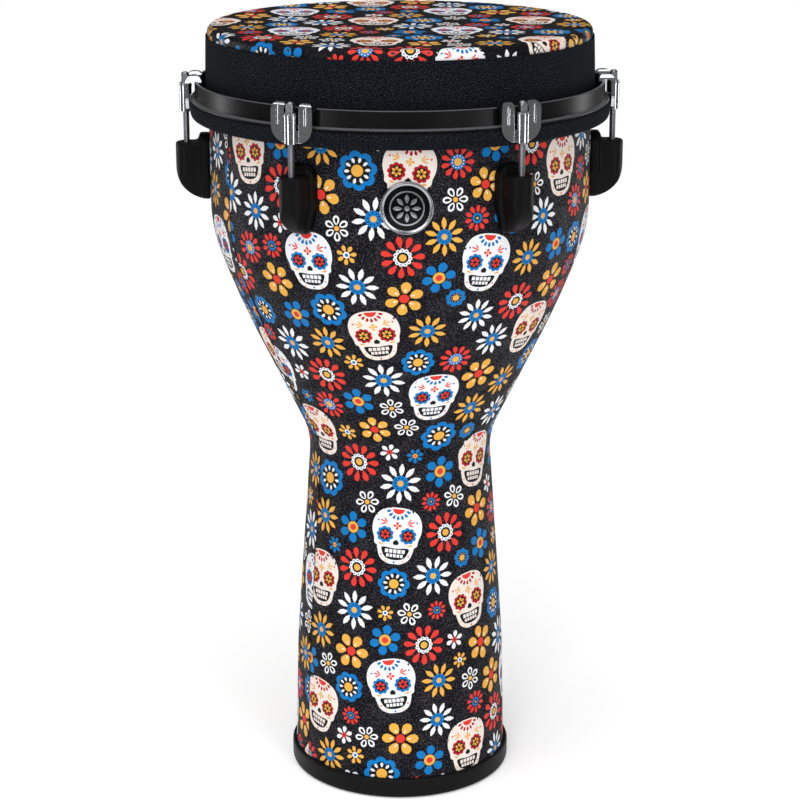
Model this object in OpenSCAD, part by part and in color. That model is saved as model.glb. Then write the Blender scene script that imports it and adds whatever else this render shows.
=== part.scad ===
// Mechanically tuned djembe: goblet shell, printed wrap, synthetic head,
// counterhoop with six claws and tension rods, six lugs, badge and foot ring.
// Millimetres. Origin at the centre of the foot, +Z up, badge facing -Y.

/* [Shell] */
// Height from the floor to the playing surface
total_h = 610; // [580:1:650]
// Outside radius of the wrapped shell at the rim
rim_r = 147.5; // [146:0.5:149]
// Wall thickness of the shell
wall_t = 6; // [5:0.5:7]
// Height where the straight rim would meet the bowl
bowl_top_z = 455; // [450:1:460]
// Radius at the middle of the bowl
bowl_mid_r = 127.8; // [125:0.1:130]
// Height at the middle of the bowl
bowl_mid_z = 399.5; // [396:0.5:402]
// Radius where the bowl would meet the column
waist_r = 71.7; // [70:0.1:74]
// Height where the bowl would meet the column
waist_z = 284; // [281:1:287]
// Radius at the knee of the column
knee_r = 84.2; // [83:0.1:85]
// Height of the knee of the column
knee_z = 108; // [90:1:120]
// Outside radius of the wrapped shell at the foot
foot_r = 86.8; // [86:0.1:88]
// Radius that rounds the outside of the bearing edge
edge_round = 4; // [3:0.5:5]

/* [Skins] */
// Thickness of the printed wrap and of the head film
skin_t = 0.4; // [0.3:0.1:0.5]
// Height where the head film's skirt ends and the wrap begins
skirt_z = 596; // [590:1:599]
// Height of the lower edge of the wrap
wrap_low_z = 8; // [5:1:12]

/* [Foot ring] */
// Height of the rubber foot ring
ring_h = 16.5; // [14:0.5:18]
// Widest radius of the foot ring
ring_r = 89.7; // [89:0.1:91]
// Thickness of rubber under the shell
ring_floor = 2.5; // [2:0.5:4]
// Thickness of the ring's inner lip
ring_lip = 1.8; // [1.2:0.2:2.4]

/* [Head collar and hoops] */
// Height of the seam between the head film and its collar
seam_z = 602.5; // [600:0.5:604]
// Thickness of the collar cloth
collar_t = 1.2; // [1:0.1:1.4]
// Outside radius of the collar at the seam
collar_top_r = 149; // [149:0.1:149.4]
// Outside radius of the collar where it goes inside the counterhoop
collar_low_r = 150; // [149.6:0.1:150.4]
// Outside radius of the cloth roll around the flesh hoop
roll_r = 161.8; // [161:0.1:161.9]
// Radial width of the cloth roll
roll_w = 10; // [9.5:0.1:10.4]
// Height of the roll's underside
roll_z = 540.5; // [539:0.5:542]
// Height of the roll
roll_h = 13; // [12:0.5:13]
// Thickness of the cloth around the flesh hoop
roll_t = 1.7; // [1.5:0.1:2]
// Outside radius of the counterhoop band
band_r = 158; // [157.6:0.1:158.2]
// Height of the counterhoop band
band_h = 15; // [14:0.5:15.5]
// Thickness of the counterhoop band and its flange
band_t = 2.4; // [2:0.1:2.6]

/* [Tension stations] */
// Radius of the circle of tension rods
rod_circle_r = 165.3; // [165:0.1:165.8]
// Diameter of the tension rods
rod_d = 5; // [4.8:0.1:5.2]
// Lower end of the rods
rod_low_z = 496; // [494:0.5:498]
// Width across the square key head
key_w = 5.7; // [5.4:0.1:6]
// Height of the key head
key_h = 8; // [7:0.5:9]
// Radial clearance of every turning fit
fit_gap = 0.06; // [0.03:0.01:0.09]

/* [Claws] */
// Width of a claw
claw_w = 34; // [32:1:36]
// Width of the slot between its two fingers
claw_slot_w = 12; // [11.5:0.5:13]
// Height of the claw's lower edge
claw_z = 543.4; // [542:0.2:545]
// Height of the web that joins the fingers
claw_web_h = 9; // [7:0.5:10]
// Thickness of the claw plate
claw_t = 2.5; // [2.2:0.1:2.6]
// Outside diameter of the barrel that carries the rod
barrel_d = 9.6; // [9:0.1:10]
// Height of that barrel
barrel_h = 19.2; // [18:0.2:20]

/* [Lugs] */
// Width of the rod housing of a lug
lug_w = 19; // [18:0.5:20]
// Width of the flange against the shell
lug_flange_w = 23; // [22:0.5:24]
// Thickness of that flange
lug_flange_t = 8; // [7:0.5:9]
// How far the lug stands off the shell
lug_depth = 26.5; // [26:0.1:27]
// Height of the lug's lower tip
lug_low_z = 474.3; // [474:0.1:476]
// Height of the top of the rod housing
lug_top_z = 519.5; // [518:0.5:521]
// Height of the top of the flange
lug_flange_z = 526; // [525:0.5:528]
// Height of the swivel nut
nut_z = 510; // [509:0.5:510]
// Diameter of the swivel nut
nut_d = 10; // [9.6:0.1:10]
// Length of the swivel nut
nut_w = 14; // [13:0.5:14]
// Heights of the two lug screws
screw_z = [481, 520.5];
// Diameter of the lug screws
screw_d = 4; // [4:0.1:4.2]

/* [Badge] */
// Height of the badge centre
badge_z = 497; // [495:1:499]
// Outside diameter of the badge
badge_d = 39; // [37:0.5:40]
// Width of the badge's metal rim
bezel_w = 3; // [2.6:0.2:3.4]
// How far the metal rim stands off the shell
bezel_h = 3.2; // [3:0.1:3.4]

/* [Hidden] */
$fn = 96;
eps = 0.01;
beyond = 200;

stations = 6;
core_r = rim_r - skin_t;
edge_z = total_h - skin_t;
inner_r = core_r - wall_t;
roll_top_z = roll_z + roll_h;
band_top_z = roll_top_z + band_h;
hook_gap = 3.6;
hook_t = 4.4;
claw_in_r = roll_r + 0.2;
claw_out_r = claw_in_r + claw_t;
hook_lip_r = band_r - band_t - 0.9;
hook_lip_t = 2.6;
hook_top_z = band_top_z + hook_t;
barrel_top_z = claw_z + barrel_h;
washer_t = 1.2;
washer_r = 5.1;
flange_t = 1.6;
flange_r = 4.5;
key_z = barrel_top_z + washer_t + flange_t;
screw_washer_t = 1;
screw_washer_r = 5;
screw_head_r = 3.9;
screw_head_h = 2.6;
screw_reach = 6.5;
screw_gap = 0.6;
dome_crown = 1.1;
seat_r = sqrt(inner_r * inner_r - screw_washer_r * screw_washer_r) - 0.05;
pocket_z = 489;
pocket_out_r = rod_circle_r + nut_d / 2 + 0.1;
pocket_w = nut_w + 0.4;
sunk = 5;
arc_steps = 10;

// A line through points, with each inner corner rounded to its own radius.
function unit(v) = v / norm(v);
function corner_arc(a, b, c, r) =
    let (u = unit(a - b), v = unit(c - b), half = acos(u * v) / 2,
         cut = r / tan(half), centre = b + unit(u + v) * r / sin(half),
         from = b + u * cut - centre, to = b + v * cut - centre,
         turn = 180 - 2 * half, side = sign(cross(from, to)))
    [for (k = [0:arc_steps]) let (t = side * turn * k / arc_steps)
        centre + [from.x * cos(t) - from.y * sin(t), from.x * sin(t) + from.y * cos(t)]];
function rounded_line(points, radii) = [
    for (i = [0:len(points) - 1])
        each (radii[i] == 0 ? [points[i]]
              : corner_arc(points[i - 1], points[i], points[(i + 1) % len(points)], radii[i]))];

// Outside of the wrapped goblet from the rim down to the foot, moved in by inset.
goblet_corners = [[rim_r, beyond + total_h], [rim_r, bowl_top_z], [bowl_mid_r, bowl_mid_z],
                  [waist_r, waist_z], [knee_r, knee_z], [foot_r, 0]];
goblet_radii = [0, 114, 700, 60, 900, 0];
goblet_line = rounded_line(goblet_corners, goblet_radii);
function goblet(inset) = [for (p = goblet_line) [p.x - inset, p.y]];
module goblet_area(inset) { polygon(concat([[0, 0], [0, beyond + total_h]], goblet(inset))); }
module band_of(low, high) { translate([0, low]) square([beyond + rim_r, high - low]); }

function station_angle(i) = -60 + (i - 1) * 360 / stations;
module at_station(i) { rotate([0, 0, station_angle(i)]) children(); }
module at_every_station() { for (i = [1:stations]) at_station(i) children(); }

// Radial hole or shank through the wall at each lug screw.
module radial_rod(r_from, r_to, d, z) {
    translate([r_from, 0, z]) rotate([0, 90, 0]) cylinder(h = r_to - r_from, d = d, $fn = 32);
}
module wall_holes() {
    at_every_station() for (z = screw_z) radial_rod(inner_r - sunk, rim_r + sunk, screw_d + screw_gap, z);
}

module shell() color("#3a3a3c") difference() {
    rotate_extrude($fn = 180) difference() {
        intersection() {
            goblet_area(skin_t);
            polygon(rounded_line(
                [[0, ring_floor], [beyond + rim_r, ring_floor], [beyond + rim_r, bowl_mid_z],
                 [core_r, bowl_mid_z], [core_r, edge_z], [0, edge_z]],
                [0, 0, 0, 0, edge_round, 0]));
        }
        goblet_area(skin_t + wall_t);
        polygon([[0, edge_z + 1], [0, edge_z - 3], [inner_r, edge_z - 1.5], [inner_r + 2.5, edge_z + 1]]);
    }
    wall_holes();
}

module shell_wrap() color("#2b2b2e") difference() {
    rotate_extrude($fn = 180) intersection() {
        difference() { goblet_area(0); goblet_area(skin_t); }
        band_of(wrap_low_z, skirt_z - eps);
    }
    wall_holes();
}

module base_ring() color("#151617") rotate_extrude($fn = 180) difference() {
    polygon(rounded_line(
        [[foot_r - wall_t - ring_lip, 0], [ring_r, 0], [ring_r, ring_h], [foot_r - wall_t - ring_lip, ring_h],
         [foot_r - wall_t - ring_lip, ring_h / 2]],
        [0, 3.5, 2.4, 1, 0]));
    intersection() {
        difference() { goblet_area(0); goblet_area(skin_t + wall_t); }
        band_of(ring_floor, beyond);
    }
}

module head_film() color("#2b2b2e") rotate_extrude($fn = 180) difference() {
    polygon(rounded_line([[0, skirt_z], [rim_r, skirt_z], [rim_r, total_h], [0, total_h]],
                         [0, 0, edge_round + skin_t, 0]));
    polygon(rounded_line([[0, skirt_z - 1], [core_r, skirt_z - 1], [core_r, edge_z], [0, edge_z]],
                         [0, 0, edge_round, 0]));
}

// Cloth sleeve from the seam down inside the counterhoop to the top of the roll.
module head_collar() color("#101114") rotate_extrude($fn = 180) {
    tuck_z = band_top_z - 6;
    polygon([[collar_top_r, seam_z], [collar_top_r + 0.5, (seam_z + tuck_z) / 2], [collar_low_r, tuck_z],
             [roll_r - roll_w + 2.6, roll_top_z + 0.1], [roll_r - roll_w + 1.2, roll_top_z + 0.1],
             [collar_low_r - collar_t, tuck_z - 1], [collar_top_r + 0.5 - collar_t, (seam_z + tuck_z) / 2],
             [collar_top_r - collar_t, seam_z]]);
}

module hoop_section() {
    translate([roll_r - roll_w + roll_t, roll_z + roll_t]) square([roll_w - 2 * roll_t, roll_h - 2 * roll_t]);
}
module flesh_hoop() color("silver") rotate_extrude($fn = 180) hoop_section();

module collar_roll() color("#101114") rotate_extrude($fn = 180) difference() {
    in_r = roll_r - roll_w;
    polygon(rounded_line([[in_r, roll_z + roll_h / 2], [in_r, roll_z], [roll_r, roll_z],
                          [roll_r, roll_top_z], [in_r, roll_top_z]],
                         [0, 4, 4.6, 1.5, 1.5]));
    hoop_section();
}

// L-shaped hoop: an upright band on a narrow flange that presses on the roll.
module counterhoop() color("#1c1c1e") rotate_extrude($fn = 180) {
    in_r = band_r - band_t;
    polygon(rounded_line([[in_r, roll_top_z], [roll_r - 0.4, roll_top_z], [roll_r - 0.4, roll_top_z + 1.5],
                          [band_r, roll_top_z + 1.7], [band_r, band_top_z], [in_r, band_top_z]],
                         [0, 0.6, 0.6, 1, 0.8, 0.8]));
}

module claw_side() {
    lip_z = band_top_z - 4;
    polygon(rounded_line(
        [[claw_in_r, claw_z], [claw_out_r, claw_z], [claw_out_r, hook_top_z],
         [hook_lip_r - hook_lip_t, hook_top_z], [hook_lip_r - hook_lip_t, lip_z], [hook_lip_r, lip_z],
         [hook_lip_r, band_top_z], [claw_in_r, band_top_z], [claw_in_r, claw_z + 5]],
        [0, 0.6, 6.2, 5.4, 1.1, 1.1, 0.6, hook_gap, 0]));
}
// Two fingers with round tips, joined by a web with round lower corners.
module claw_front() {
    out = claw_w / 2;
    slot = claw_slot_w / 2;
    web_z = claw_z + claw_web_h;
    polygon(rounded_line(
        [[0, claw_z], [out, claw_z], [out, hook_top_z], [slot, hook_top_z], [slot, web_z],
         [-slot, web_z], [-slot, hook_top_z], [-out, hook_top_z], [-out, claw_z]],
        [0, 12, 6, 3, 1.5, 1.5, 3, 6, 12]));
}
// Two shallow flutes run down the front of the fingers.
module claw_flutes() {
    for (side = [-1, 1])
        translate([claw_out_r + 0.6, side * (claw_w + claw_slot_w) / 4, claw_z + 13])
            cylinder(h = beyond, r = 1.5, $fn = 24);
}
module claw(i) color("#c8ccd2") at_station(i) difference() {
    union() {
        difference() {
            intersection() {
                rotate([90, 0, 0]) linear_extrude(claw_w, center = true) claw_side();
                rotate([90, 0, 90]) linear_extrude(beyond) claw_front();
            }
            claw_flutes();
        }
        translate([rod_circle_r, 0, claw_z]) cylinder(h = barrel_h, d = barrel_d, $fn = 48);
    }
    translate([rod_circle_r, 0, claw_z - 1]) cylinder(h = barrel_h + 2, d = rod_d + 2 * fit_gap, $fn = 48);
    translate([0, -claw_w / 2, claw_z - eps]) cube([claw_in_r, claw_w, band_top_z - claw_z - 12]);
}

module tension_rod(i) color("#b9bdc4") at_station(i) translate([rod_circle_r, 0, 0]) {
    translate([0, 0, rod_low_z]) cylinder(h = key_z - flange_t - rod_low_z, d = rod_d, $fn = 48);
    translate([0, 0, key_z - flange_t]) cylinder(h = flange_t, r = flange_r, $fn = 48);
    translate([0, 0, key_z]) intersection() {
        translate([-key_w / 2, -key_w / 2, 0]) cube([key_w, key_w, key_h]);
        union() {
            cylinder(h = key_h - 3, d = key_w * 1.22, $fn = 48);
            translate([0, 0, key_h - 3]) intersection() {
                sphere(d = key_w * 1.22, $fn = 48);
                cylinder(h = 3, d = beyond, $fn = 48);
            }
        }
    }
}

module rod_washer(i) color("#d5d8dc") at_station(i) translate([rod_circle_r, 0, barrel_top_z]) difference() {
    cylinder(h = washer_t, r = washer_r, $fn = 48);
    translate([0, 0, -1]) cylinder(h = washer_t + 2, d = rod_d + 2 * fit_gap, $fn = 48);
}

// Side view of a lug: quarter-ellipse underside, flat top, raised flange at the shell.
module lug_side() {
    foot_z = lug_low_z + lug_depth;
    polygon(concat(
        [[rim_r - sunk, lug_flange_z], [rim_r - sunk, lug_low_z]],
        [for (k = [0:16]) [rim_r + lug_depth * sin(90 * k / 16), foot_z - lug_depth * cos(90 * k / 16)]],
        rounded_line([[rim_r + lug_depth, foot_z], [rim_r + lug_depth, lug_top_z],
                      [rim_r + lug_flange_t + 1, lug_top_z], [rim_r + lug_flange_t, lug_flange_z],
                      [rim_r - sunk, lug_flange_z]],
                     [0, 1.2, 3.5, 1.6, 0])));
}
module lug_plan() {
    front_r = lug_w / 2;
    translate([rim_r + lug_depth - front_r, 0]) circle(r = front_r, $fn = 64);
    translate([rim_r - sunk, -front_r]) square([lug_depth + sunk - front_r, lug_w]);
}
// Front view of a lug: straight sides that draw in to a narrow round tip.
module lug_front(width, shoulder_r) {
    half = width / 2;
    tip = half - 4.8;
    bend_z = lug_low_z + 21;
    polygon(rounded_line(
        [[0, lug_low_z], [tip, lug_low_z], [half, bend_z], [half, lug_flange_z],
         [-half, lug_flange_z], [-half, bend_z], [-tip, lug_low_z]],
        [0, tip - 0.8, 36, shoulder_r, shoulder_r, 36, tip - 0.8]));
}
module lug_solid() intersection() {
    rotate([90, 0, 0]) linear_extrude(lug_flange_w + 1, center = true) lug_side();
    union() {
        intersection() {
            translate([0, 0, lug_low_z]) linear_extrude(lug_flange_z - lug_low_z) lug_plan();
            rotate([90, 0, 90]) linear_extrude(beyond) lug_front(lug_w, 5);
        }
        translate([rim_r - sunk, 0, 0]) rotate([90, 0, 90])
            linear_extrude(sunk + lug_flange_t - 1) lug_front(lug_flange_w, 9);
    }
}
module lug(i) color("#141416") at_station(i) difference() {
    lug_solid();
    // Back face follows the shell.
    translate([0, 0, lug_low_z - sunk]) cylinder(h = beyond, r = rim_r, $fn = 180);
    // Pocket for the swivel nut, open at the back, with a round seat at its top.
    translate([rim_r - sunk, -pocket_w / 2, pocket_z])
        cube([pocket_out_r + sunk - rim_r, pocket_w, nut_z - pocket_z]);
    translate([rod_circle_r, pocket_w / 2, nut_z]) rotate([90, 0, 0])
        cylinder(h = pocket_w, r = nut_d / 2 + 0.1, $fn = 48);
    // Hole where the rod goes in.
    translate([rod_circle_r, 0, nut_z]) cylinder(h = beyond, d = rod_d + 1.6, $fn = 48);
    for (z = screw_z) radial_rod(rim_r - sunk, rim_r + screw_reach, screw_d, z);
}

module swivel_nut(i) color("#c9b26a") at_station(i) translate([rod_circle_r, 0, nut_z]) difference() {
    translate([0, nut_w / 2, 0]) rotate([90, 0, 0]) cylinder(h = nut_w, d = nut_d, $fn = 48);
    translate([0, 0, -nut_d]) cylinder(h = 2 * nut_d, d = rod_d + 2 * fit_gap, $fn = 48);
}

// Washers and pan heads bear on the inside of the wall.
module lug_washers() color("#9aa0a6") at_every_station() for (z = screw_z) difference() {
    radial_rod(seat_r - screw_washer_t, seat_r, 2 * screw_washer_r, z);
    radial_rod(seat_r - sunk, seat_r + sunk, screw_d + screw_gap / 2, z);
}
module lug_screws() color("#8b9096") at_every_station() for (z = screw_z) {
    radial_rod(seat_r - screw_washer_t, rim_r + screw_reach - 0.5, screw_d, z);
    difference() {
        radial_rod(seat_r - screw_washer_t - screw_head_h, seat_r - screw_washer_t, 2 * screw_head_r, z);
        translate([seat_r - screw_washer_t - screw_head_h - 1, -0.6, z - 3]) cube([2.2, 1.2, 6]);
    }
}

module at_badge() { translate([0, 0, badge_z]) rotate([90, 0, 0]) children(); }
module badge_bezel() color("#d2d4d8") difference() {
    at_badge()
        rotate_extrude($fn = 96) polygon(rounded_line(
            [[badge_d / 2 - bezel_w, rim_r - sunk], [badge_d / 2, rim_r - sunk], [badge_d / 2, rim_r + bezel_h],
             [badge_d / 2 - bezel_w, rim_r + bezel_h - 0.9]],
            [0, 0, 1.1, 0.6]));
    cylinder(h = total_h, r = rim_r, $fn = 180);
}
// A low crown, as one turned profile.
module badge_dome() color("#0c0c0e") difference() {
    dome_r = badge_d / 2 - bezel_w - 0.02;
    base_h = rim_r + bezel_h - 1.5;
    ball_r = (dome_r * dome_r + dome_crown * dome_crown) / (2 * dome_crown);
    at_badge() rotate_extrude($fn = 96) polygon(concat(
        [[0, rim_r - sunk], [dome_r, rim_r - sunk]],
        [for (k = [arc_steps:-1:0]) let (r = dome_r * k / arc_steps)
            [r, base_h + dome_crown - ball_r + sqrt(ball_r * ball_r - r * r)]]));
    cylinder(h = total_h, r = rim_r, $fn = 180);
}

shell();
shell_wrap();
base_ring();
badge_bezel();
badge_dome();
head_film();
head_collar();
flesh_hoop();
collar_roll();
counterhoop();
lug_screws();
lug_washers();
for (i = [1:6]) {
    claw(i);
    tension_rod(i);
    rod_washer(i);
    lug(i);
    swivel_nut(i);
}
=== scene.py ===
import math
from collections import namedtuple

import bmesh
import bpy
import numpy as np
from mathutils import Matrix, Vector
from mathutils.geometry import delaunay_2d_cdt


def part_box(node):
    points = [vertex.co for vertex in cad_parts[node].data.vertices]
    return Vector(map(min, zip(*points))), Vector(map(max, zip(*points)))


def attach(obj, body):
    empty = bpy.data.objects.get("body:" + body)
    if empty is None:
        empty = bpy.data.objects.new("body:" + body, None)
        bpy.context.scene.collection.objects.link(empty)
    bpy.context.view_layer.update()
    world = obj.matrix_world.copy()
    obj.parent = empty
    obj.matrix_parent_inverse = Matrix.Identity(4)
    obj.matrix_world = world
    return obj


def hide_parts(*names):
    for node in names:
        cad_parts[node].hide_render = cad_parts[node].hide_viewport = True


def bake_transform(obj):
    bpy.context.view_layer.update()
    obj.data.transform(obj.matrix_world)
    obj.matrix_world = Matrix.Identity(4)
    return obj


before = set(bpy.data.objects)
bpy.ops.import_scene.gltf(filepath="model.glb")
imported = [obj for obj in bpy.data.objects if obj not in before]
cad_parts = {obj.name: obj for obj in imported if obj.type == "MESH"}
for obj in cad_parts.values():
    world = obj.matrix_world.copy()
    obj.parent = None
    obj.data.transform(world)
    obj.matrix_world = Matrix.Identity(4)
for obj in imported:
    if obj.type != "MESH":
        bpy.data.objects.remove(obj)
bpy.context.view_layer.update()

MM = 0.001
TAU = 2 * math.pi

# ---------------------------------------------------------------- the view

CAMERA_AZIMUTH = math.radians(-1.9)
CAMERA_DISTANCE = 1.765
CAMERA_HEIGHT = 0.8405
CAMERA_PITCH = math.radians(16.78)
CAMERA_LENS = 103.2


def add_object(name, data):
    thing = bpy.data.objects.new(name, data)
    bpy.context.scene.collection.objects.link(thing)
    return thing


def add_camera():
    data = bpy.data.cameras.new("camera")
    data.lens = CAMERA_LENS
    data.sensor_width = 36
    camera = add_object("camera", data)
    camera.location = (
        CAMERA_DISTANCE * math.sin(CAMERA_AZIMUTH),
        -CAMERA_DISTANCE * math.cos(CAMERA_AZIMUTH),
        CAMERA_HEIGHT,
    )
    camera.rotation_euler = (math.pi / 2 - CAMERA_PITCH, 0, CAMERA_AZIMUTH)
    bpy.context.scene.camera = camera


# ---------------------------------------------------------------- the studio

BACKDROP_WHITE = 1.0
ROOM_LIGHT = 0.16
DRUM_MIDDLE = (0, 0, 0.36)
# The softboxes: name, place, (width, height) and power in watts.
SOFTBOXES = (
    ("key", (-0.55, -2.2, 1.25), (0.6, 1.5), 15),
    ("fill", (0.90, -2.1, 0.95), (0.4, 1.3), 8.5),
)
# Upright strips beside the drum, seen only as streaks on metal and gloss.
STRIP_X = 1.2
STRIP_DEPTHS = (-1.2, 0.5)
STRIP_Z = 0.42
STRIP_SIZE = (0.2, 0.8)
STRIP_POWER = 4
SUN_DIRECTION = (0.10, 0.30, -1)
SUN_STRENGTH = 2.2
SUN_WIDTH = math.radians(70)
FLOOR_SIZE = 3.4
FLOOR_DROP = 0.3 * MM
FLOOR_GLOW = 0.27


def add_lamp(name, data, direction):
    lamp = add_object(name, data)
    lamp.rotation_euler = direction.to_track_quat("-Z", "Y").to_euler()
    return lamp


def add_softbox(name, place, target, size, power):
    data = bpy.data.lights.new(name, "AREA")
    data.shape = "RECTANGLE"
    data.size, data.size_y = size
    data.energy = power
    lamp = add_lamp(name, data, Vector(target) - Vector(place))
    lamp.location = place
    return lamp


def add_strips():
    for name, side in (("strip_left", -1), ("strip_right", 1)):
        for depth in STRIP_DEPTHS:
            place = (side * STRIP_X, depth, STRIP_Z)
            strip = add_softbox(name, place, (0, 0, STRIP_Z), STRIP_SIZE, STRIP_POWER)
            strip.visible_diffuse = False


def add_sun():
    data = bpy.data.lights.new("overhead", "SUN")
    data.energy = SUN_STRENGTH
    data.angle = SUN_WIDTH
    add_lamp("overhead", data, Vector(SUN_DIRECTION))


def add_world():
    """A pale room: white where it is seen, and dimmer as a source of light."""
    world = bpy.data.worlds.new("studio")
    bpy.context.scene.world = world
    world.use_nodes = True
    tree = world.node_tree
    background = tree.nodes["Background"]
    background.inputs["Color"].default_value = (1, 1, 1, 1)
    seen = add_node(tree, "ShaderNodeLightPath").outputs["Is Camera Ray"]
    tree.links.new(spread(tree, seen, ROOM_LIGHT, BACKDROP_WHITE), background.inputs["Strength"])


def add_floor():
    bpy.ops.mesh.primitive_plane_add(size=FLOOR_SIZE, location=(0, 0, -FLOOR_DROP))
    floor = bpy.context.object
    floor.name = "floor"
    floor.data.materials.append(plain_floor())


def add_studio():
    bpy.context.scene.view_settings.view_transform = "Standard"
    add_world()
    for name, place, size, power in SOFTBOXES:
        add_softbox(name, place, DRUM_MIDDLE, size, power)
    add_strips()
    add_sun()
    add_floor()


# ---------------------------------------------------------------- materials

def new_material(name, colour, rough, metallic=0, specular=0.5, coat=0, coat_rough=0.03):
    material = bpy.data.materials.new(name)
    material.use_nodes = True
    material.diffuse_color = (*colour, 1)
    shader = material.node_tree.nodes["Principled BSDF"]
    values = {"Base Color": (*colour, 1), "Roughness": rough, "Metallic": metallic,
              "Specular IOR Level": specular, "Coat Weight": coat, "Coat Roughness": coat_rough}
    for socket, value in values.items():
        shader.inputs[socket].default_value = value
    return material, material.node_tree, shader


def add_node(tree, kind, inputs=None, **settings):
    node = tree.nodes.new(kind)
    for name, value in settings.items():
        setattr(node, name, value)
    for name, value in (inputs or {}).items():
        if isinstance(value, bpy.types.NodeSocket):
            tree.links.new(value, node.inputs[name])
        else:
            node.inputs[name].default_value = value
    return node


def object_place(tree):
    return add_node(tree, "ShaderNodeTexCoord").outputs["Object"]


def cloth_place(tree):
    return add_node(tree, "ShaderNodeUVMap", uv_map="cloth").outputs["UV"]


def noise(tree, scale, detail=3.0, rough=0.5, where=None):
    place = object_place(tree) if where is None else where
    values = {"Vector": place, "Scale": scale, "Detail": detail, "Roughness": rough}
    return add_node(tree, "ShaderNodeTexNoise", values).outputs["Fac"]


def ramp(tree, factor, stops):
    node = add_node(tree, "ShaderNodeValToRGB", {"Fac": factor})
    elements = node.color_ramp.elements
    while len(elements) < len(stops):
        elements.new(0.5)
    for element, (position, colour) in zip(elements, stops):
        element.position = position
        element.color = (*colour, 1)
    return node.outputs["Color"]


def spread(tree, factor, low, high):
    values = {"Value": factor, "To Min": low, "To Max": high}
    return add_node(tree, "ShaderNodeMapRange", values).outputs["Result"]


def maths(tree, operation, a, b):
    return add_node(tree, "ShaderNodeMath", {0: a, 1: b}, operation=operation).outputs[0]


def vary_rough(tree, shader, factor, low, high):
    tree.links.new(spread(tree, factor, low, high), shader.inputs["Roughness"])


def vary_colour(tree, shader, factor, stops):
    tree.links.new(ramp(tree, factor, stops), shader.inputs["Base Color"])


def bump(tree, shader, height, strength, distance):
    values = {"Height": height, "Strength": strength, "Distance": distance}
    node = add_node(tree, "ShaderNodeBump", values)
    tree.links.new(node.outputs["Normal"], shader.inputs["Normal"])


def weave(tree, where, thread):
    """Height of a plain weave of the given thread width, from cloth coordinates in metres."""
    waves = []
    # At scale 1, a wave texture has 20 radians in a unit of length.
    for direction in ("X", "Y"):
        values = {"Vector": where, "Scale": TAU / (20 * 2 * thread)}
        node = add_node(tree, "ShaderNodeTexWave", values, bands_direction=direction)
        waves.append(node.outputs["Fac"])
    return maths(tree, "MAXIMUM", waves[0], waves[1])


def plain_floor():
    material, tree, shader = new_material("plain_floor", (0.95, 0.95, 0.95), 0.9)
    shader.inputs["Emission Color"].default_value = (1, 1, 1, 1)
    shader.inputs["Emission Strength"].default_value = FLOOR_GLOW
    vary_rough(tree, shader, noise(tree, 40), 0.8, 0.9)
    return material


PRINT_THREAD = 0.28 * MM
GROUND_COLOUR = (0.0055, 0.0053, 0.0078)
THREAD_TINT = (0.92, 0.88, 1.0, 1)
INKS = {
    "white": (0.88, 0.88, 0.90),
    "cream": (0.88, 0.79, 0.73),
    "red": (0.76, 0.042, 0.030),
    "deep_red": (0.45, 0.006, 0.015),
    "blue": (0.002, 0.185, 0.53),
    "gold": (0.85, 0.43, 0.065),
    "black": (0.007, 0.007, 0.008),
}


def heather(tree, where, shader, shine):
    """Flecks on the charcoal ground, where the threads of the cloth shine."""
    flecks = noise(tree, 700, 4.0, 0.75, where)
    cloud = noise(tree, 55, 4.0, 0.6, where)
    mixed = maths(tree, "ADD", flecks, maths(tree, "MULTIPLY", cloud, 0.18))
    stops = ((0.50, (0, 0, 0)), (0.60, (0.06, 0.06, 0.06)), (0.72, (shine, shine, shine)))
    tree.links.new(ramp(tree, mixed, stops), shader.inputs["Specular IOR Level"])
    shader.inputs["Specular Tint"].default_value = THREAD_TINT


def printed(name, colour, rough, coat, shine=0):
    """Printed cloth or film of one colour. Only the unprinted ground has shine, which gives it flecks."""
    material, tree, shader = new_material(name, colour, rough, specular=0.12, coat=coat, coat_rough=0.3)
    where = cloth_place(tree)
    if shine:
        heather(tree, where, shader, shine)
    threads = weave(tree, where, PRINT_THREAD)
    wear = noise(tree, 260, where=where)
    vary_rough(tree, shader, wear, rough - 0.08, rough + 0.10)
    bump(tree, shader, maths(tree, "ADD", threads, wear), 0.18, 0.08 * MM)
    return material


def print_materials(prefix, rough, coat, shine):
    ground = printed(prefix + "_ground", GROUND_COLOUR, rough, coat, shine)
    return [ground] + [printed(f"{prefix}_{ink}", INKS[ink], rough, coat) for ink in INKS]


COLLAR_THREAD = 0.45 * MM


def collar_cloth():
    material, tree, shader = new_material("collar_cloth", (0.004, 0.006, 0.009), 0.9, specular=0.06)
    where = cloth_place(tree)
    flecks = noise(tree, 1150, 3.0, 0.7, where)
    stops = (
        (0.40, (0.0006, 0.0010, 0.0018)),
        (0.53, (0.0026, 0.0042, 0.0070)),
        (0.64, (0.045, 0.053, 0.066)),
    )
    vary_colour(tree, shader, flecks, stops)
    threads = weave(tree, where, COLLAR_THREAD)
    bump(tree, shader, maths(tree, "ADD", threads, flecks), 0.7, 0.25 * MM)
    return material


def chrome():
    material, tree, shader = new_material("chrome_plate", (0.54, 0.55, 0.57), 0.1, metallic=1)
    vary_rough(tree, shader, noise(tree, 300, 4.0), 0.07, 0.16)
    return material


def rod_steel():
    material, tree, shader = new_material("rod_steel", (0.22, 0.225, 0.24), 0.3, metallic=1)
    grain = noise(tree, 700)
    vary_rough(tree, shader, grain, 0.22, 0.42)
    bump(tree, shader, grain, 0.15, 0.08 * MM)
    return material


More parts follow.
